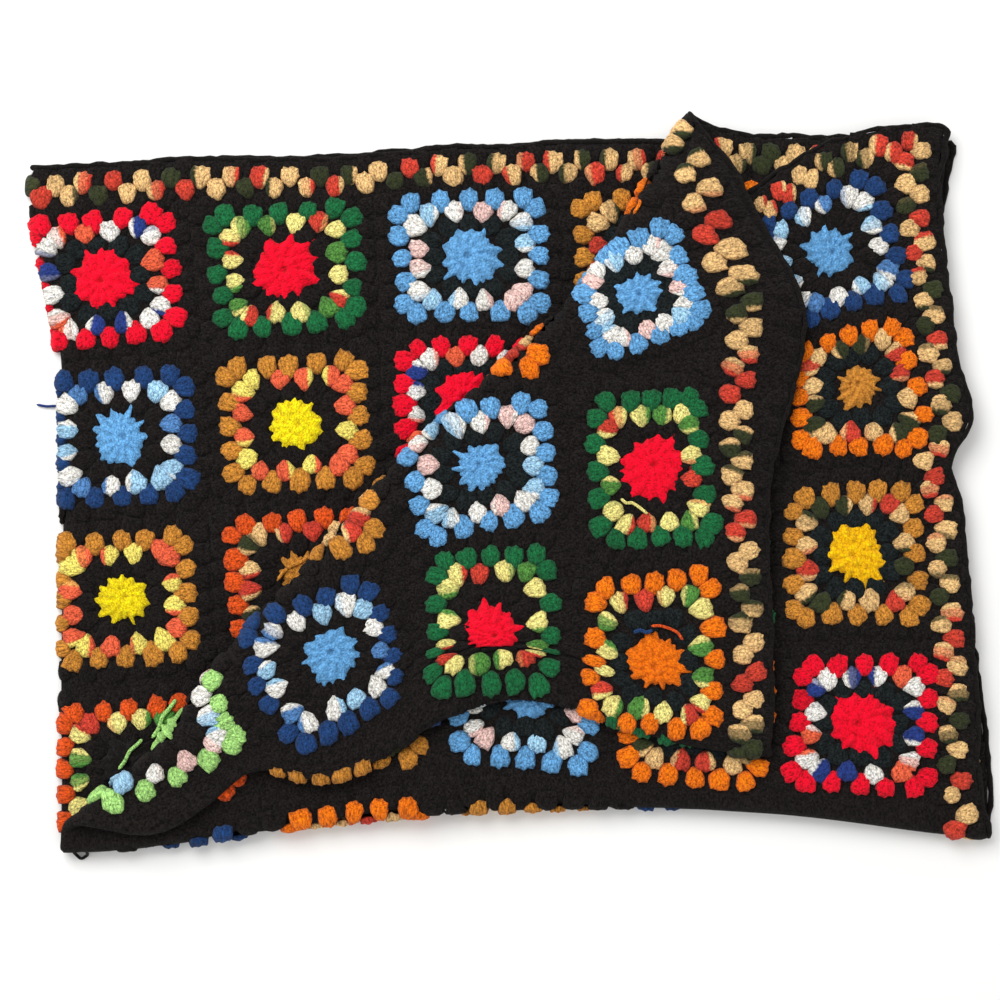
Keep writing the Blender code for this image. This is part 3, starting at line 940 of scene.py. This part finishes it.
def centre_size(scheme, number):
    """How large a centre is by its yarn, and by how its square is drawn in."""
    set_in = SQUARE_SETS.get((number % COLUMNS, number // COLUMNS), PLAIN_SET)
    return CENTRE_SIZES.get(scheme.centre, 1.0) * set_in.long


centre_places = [
    Place(
        *pulled(*square[:2], STITCH_PULLS),
        chance.uniform(0, 2 * math.pi),
        centre_size(scheme, number) * chance.normal(1.0, CENTRE_STRAY),
        CENTRE_LIFT,
        scheme.centre,
        0,
        number,
    )
    for square, scheme, number in squares
]
seen = in_view(centre_places)
for kind in range(CENTRE_KINDS):
    laid_on(f"centres_{kind + 1}", centre(FIRST_KIND + kind), seen[kind::CENTRE_KINDS], CENTRE_YARN)

# ---------------------------------------------------------------- The border
# Two rows of variegated clusters worked round the joined squares, half a cluster out of step, then
# a black round on both faces of the edge and a firm corded rim of black yarn.

BorderRow = namedtuple("BorderRow", "outset count_long count_wide yarn start")
INNER_ROW = BorderRow(0.0026, 64, 51, "harvest", 1)
OUTER_ROW = BorderRow(0.0128, 65, 52, "harvest", 1)
BLACK_ROW = BorderRow(0.0186, 66, 53, "black", 2)
BORDER_SIZE = 0.97
BORDER_STRAY = 0.0006


def border_places(row):
    """Clusters along the four sides of the joined squares, at the row's outset from their edge."""
    found = []
    half_long = COLUMNS / 2 * SQUARE + row.outset
    half_wide = ROWS / 2 * SQUARE + row.outset
    run = 0
    for side in range(4):
        facing = side * math.pi / 2
        length, out, count = half_long, half_wide, row.count_long
        if side % 2:
            length, out, count = half_wide, half_long, row.count_wide
        for index in range(count):
            local_x = ((index + 0.5) / count * 2 - 1) * length + chance.normal(0, BORDER_STRAY)
            local_y = out + chance.normal(0, BORDER_STRAY)
            spot = (
                local_x * math.cos(facing) + local_y * math.sin(facing),
                local_y * math.cos(facing) - local_x * math.sin(facing),
            )
            found.append(
                Place(
                    *(pulled(*spot, STITCH_PULLS) if row.yarn in VARIEGATED else spot),
                    -facing + chance.normal(0, TURN_STRAY),
                    chance.normal(BORDER_SIZE, SIZE_STRAY),
                    CLUSTER_LIFT,
                    row.yarn,
                    run,
                    row.start,
                )
            )
            run += 1
    return found


band = border_places(INNER_ROW) + border_places(OUTER_ROW)
laid_on("border_band", COLOUR_CLUSTER, in_view(band), COLOURED_YARN)
edge = border_places(BLACK_ROW)
laid_on("border_black", BLACK_CLUSTER, edge + [p._replace(side=-1) for p in edge], BLACK_YARN)

RIM_RADIUS = 0.0023
RIM_OUT = BORDER - 0.0024
RIM_ROUND = 8
RIM_STRAY = 0.0011
RIM_STEP = 0.005
RIM_BEND = 0.010
RIM_BEND_POINTS = 7
RIM_KNOB = 0.16
RIM_KNOB_TURN = 1.9
RIM_RUN = 7.0
CORNER_SIGNS = ((1, 1), (-1, 1), (-1, -1), (1, -1))


def rim_line(half_long, half_wide):
    """Points along a rectangle with round corners, and the way outwards at each."""
    path, outwards = [], []
    for side, signs in enumerate(CORNER_SIGNS):
        for turn in np.linspace(side, side + 1, RIM_BEND_POINTS) * math.pi / 2:
            out = np.array([math.cos(turn), math.sin(turn)])
            path.append(np.multiply(signs, (half_long - RIM_BEND, half_wide - RIM_BEND)) + RIM_BEND * out)
            outwards.append(out)
        following = CORNER_SIGNS[(side + 1) % len(CORNER_SIGNS)]
        end = np.multiply(following, (half_long - RIM_BEND, half_wide - RIM_BEND)) + RIM_BEND * out
        begin = path[-1]
        steps = round(np.linalg.norm(end - begin) / RIM_STEP)
        for share in np.arange(1, steps) / steps:
            path.append(begin + share * (end - begin))
            outwards.append(out)
    return np.array(path), np.array(outwards)


def tube_triangles(rings, around, closed):
    """Triangles of a tube of rings of points, which ends in itself where it is closed."""
    first = np.arange(rings if closed else rings - 1)[:, None] * around
    one = (first + np.arange(around)).ravel()
    two = (first + (np.arange(around) + 1) % around).ravel()
    one_on, two_on = (one + around) % (rings * around), (two + around) % (rings * around)
    return np.concatenate([np.stack([one, one_on, two_on], axis=1), np.stack([one, two_on, two], axis=1)])


rim_path, rim_out = rim_line(COLUMNS / 2 * SQUARE + RIM_OUT, ROWS / 2 * SQUARE + RIM_OUT)
rim_count = len(rim_path)
stray = np.convolve(chance.normal(0, RIM_STRAY, rim_count), np.ones(3) / 3, mode="same")
rim_path = rim_path + stray[:, None] * rim_out
turn = ways_round(RIM_ROUND)
knobby = RIM_RADIUS * (1 + RIM_KNOB * np.sin(np.arange(rim_count) * RIM_KNOB_TURN))
rim_along = rim_path[:, 0, None] + knobby[:, None] * np.cos(turn) * rim_out[:, 0, None]
rim_across = rim_path[:, 1, None] + knobby[:, None] * np.cos(turn) * rim_out[:, 1, None]
rim_points = carried(rim_along, rim_across, knobby[:, None] * np.sin(turn)).reshape(-1, 3)
rim_triangles = tube_triangles(rim_count, RIM_ROUND, closed=True)
rim_run = np.c_[
    np.repeat(np.arange(rim_count) * RIM_RUN, RIM_ROUND), np.tile(turn, rim_count), np.zeros(len(rim_points))
]
rim = mesh_piece("border_rim", rim_points, rim_triangles, None, rim_run)
rim.data.materials.append(BLACK_YARN)
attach(rim, "root")

# ---------------------------------------------------------------- The loose ends
# Cut ends of yarn left long where a shade was changed or a stitch has come undone, lying on the
# cloth: each runs through the points given, in metres from the middle of the folded blanket.

End = namedtuple("End", "yarn radius lift spots")
LOOSE_ENDS = (
    End("royal", 0.0011, 0.001, (
        (-0.384, 0.063), (-0.376, 0.0615), (-0.368, 0.062), (-0.360, 0.059), (-0.352, 0.060),
    )),
    End("straw", 0.0013, 0.004, (
        (0.086, -0.013), (0.090, -0.0165), (0.095, -0.016), (0.101, -0.020), (0.107, -0.025),
    )),
    End("rust", 0.0012, 0.004, (
        (0.110, -0.114), (0.117, -0.1135), (0.125, -0.116), (0.131, -0.119), (0.135, -0.125),
    )),
    End("navy", 0.0016, 0.004, (
        (0.096, -0.119), (0.101, -0.117), (0.106, -0.119), (0.111, -0.1175),
    )),
    End("orange", 0.0014, 0.0068, (
        (0.110, 0.245), (0.106, 0.237), (0.102, 0.229), (0.101, 0.221), (0.096, 0.213),
    )),
    End("ochre", 0.0015, 0.004, (
        (-0.1888, -0.0788), (-0.1832, -0.0708), (-0.1776, -0.0668), (-0.1704, -0.0644), (-0.1624, -0.0588),
        (-0.1552, -0.0548),
    )),
    End("black", 0.0013, 0.001, (
        (-0.352, -0.290), (-0.3535, -0.299), (-0.348, -0.304), (-0.342, -0.300), (-0.343, -0.291),
    )),
    End("lime", 0.0016, 0.005, (
        (-0.316, -0.230), (-0.311, -0.224), (-0.307, -0.215), (-0.302, -0.211), (-0.297, -0.206),
    )),
    End("lime", 0.0018, 0.0078, (
        (-0.2344, -0.1396), (-0.2376, -0.1460), (-0.2408, -0.1524), (-0.2432, -0.1580),
    )),
    End("lime", 0.0018, 0.004, (
        (-0.289, -0.205), (-0.284, -0.198), (-0.281, -0.188), (-0.275, -0.181), (-0.270, -0.174),
    )),
)
END_STEPS = 18
END_ROUND = 7
END_TAPER = 0.45
END_RUN = 0.8
END_TURN = ways_round(END_ROUND)
END_POINTS = END_STEPS * END_ROUND
ABOVE_ALL = 0.2


def end_spine(end):
    """The middle line of a loose end, laid over the cloth and smoothed."""
    given = np.array(end.spots)
    share = np.linspace(0, len(given) - 1, END_STEPS)
    path = np.stack([np.interp(share, np.arange(len(given)), given[:, axis]) for axis in range(2)], axis=1)
    path = np.concatenate([path[:1], (path[:-2] + 2 * path[1:-1] + path[2:]) / 4, path[-1:]])
    heights = []
    for x, y in path:
        hit = shelter.ray_cast(Vector((x, y, ABOVE_ALL)), Vector((0, 0, -1)))[0]
        heights.append((hit.z if hit else 0.0) + end.lift + end.radius)
    heights = np.convolve(np.pad(heights, 2, mode="edge"), np.ones(5) / 5, mode="valid")
    return np.c_[path, heights]


def end_tube(end):
    """The points and triangles of a loose end, a tube with narrow capped ends."""
    spine = end_spine(end)
    ahead = np.gradient(spine, axis=0)
    ahead /= np.linalg.norm(ahead, axis=1, keepdims=True)
    aside = np.cross(ahead, (0, 0, 1))
    aside /= np.linalg.norm(aside, axis=1, keepdims=True)
    above = np.cross(aside, ahead)
    girth = np.full((END_STEPS, 1, 1), end.radius)
    girth[[0, -1]] *= END_TAPER
    ring = np.cos(END_TURN)[:, None] * aside[:, None] + np.sin(END_TURN)[:, None] * above[:, None]
    triangles = [tube_triangles(END_STEPS, END_ROUND, closed=False)]
    for first, way in ((0, 1), ((END_STEPS - 1) * END_ROUND, -1)):
        corners = first + np.arange(1, END_ROUND - 1)
        cap = np.stack([np.full(END_ROUND - 2, first), corners, corners + 1], axis=1)
        triangles.append(cap[:, ::way])
    return (spine[:, None] + girth * ring).reshape(-1, 3), np.concatenate(triangles)


tubes = [end_tube(end) for end in LOOSE_ENDS]
end_run = np.c_[
    np.repeat(np.arange(END_STEPS) * END_RUN, END_ROUND), np.tile(END_TURN, END_STEPS), np.zeros(END_POINTS)
]
loose = mesh_piece(
    "loose_ends",
    np.concatenate([points for points, _ in tubes]),
    np.concatenate([triangles + number * END_POINTS for number, (_, triangles) in enumerate(tubes)]),
    np.repeat([TONE[end.yarn] for end in LOOSE_ENDS], END_POINTS, axis=0),
    np.tile(end_run, (len(LOOSE_ENDS), 1)),
)
loose.data.materials.append(COLOURED_YARN)
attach(loose, "root")

# ---------------------------------------------------------------- The stage
# A plain white floor in a bright room, under one large soft window above and behind. The camera
# looks straight down on the blanket.

FLOOR_HALF = 6.0
FLOOR_COLOUR = (0.86, 0.86, 0.85, 1)
FLOOR_ROUGHNESS = 0.9
ROOM_COLOUR = (1.0, 0.995, 0.985, 1)
ROOM_STRENGTH = 0.80
WINDOW_SIZE = 1.6
WINDOW_WATTS = 52.0
WINDOW_PLACE = (-0.9, 1.3, 2.0)
CAMERA_PLACE = (-0.010, -0.014, 2.02)
LENS = 90
SENSOR = 36

floor_data = bpy.data.meshes.new("floor")
floor_corners = [(x * FLOOR_HALF, y * FLOOR_HALF, 0) for x, y in ((-1, -1), (1, -1), (1, 1), (-1, 1))]
floor_data.from_pydata(floor_corners, [], [(0, 1, 2, 3)])
floor = bpy.data.objects.new("floor", floor_data)
bpy.context.scene.collection.objects.link(floor)
floor_material = bpy.data.materials.new("floor_white")
floor_material.use_nodes = True
floor_shader = floor_material.node_tree.nodes["Principled BSDF"]
floor_shader.inputs["Base Color"].default_value = FLOOR_COLOUR
floor_shader.inputs["Roughness"].default_value = FLOOR_ROUGHNESS
floor_data.materials.append(floor_material)

world = bpy.data.worlds.new("room")
world.use_nodes = True
room = world.node_tree.nodes["Background"]
room.inputs["Color"].default_value = ROOM_COLOUR
room.inputs["Strength"].default_value = ROOM_STRENGTH
bpy.context.scene.world = world
window_data = bpy.data.lights.new("window", "AREA")
window_data.size = WINDOW_SIZE
window_data.energy = WINDOW_WATTS
window = bpy.data.objects.new("window", window_data)
window.location = WINDOW_PLACE
window.rotation_euler = (-window.location).to_track_quat("-Z", "Y").to_euler()
bpy.context.scene.collection.objects.link(window)

camera_data = bpy.data.cameras.new("camera")
camera_data.sensor_width = SENSOR
camera_data.lens = LENS
camera = bpy.data.objects.new("camera", camera_data)
camera.location = CAMERA_PLACE
bpy.context.scene.collection.objects.link(camera)
bpy.context.scene.camera = camera
bpy.context.scene.view_settings.view_transform = "Standard"
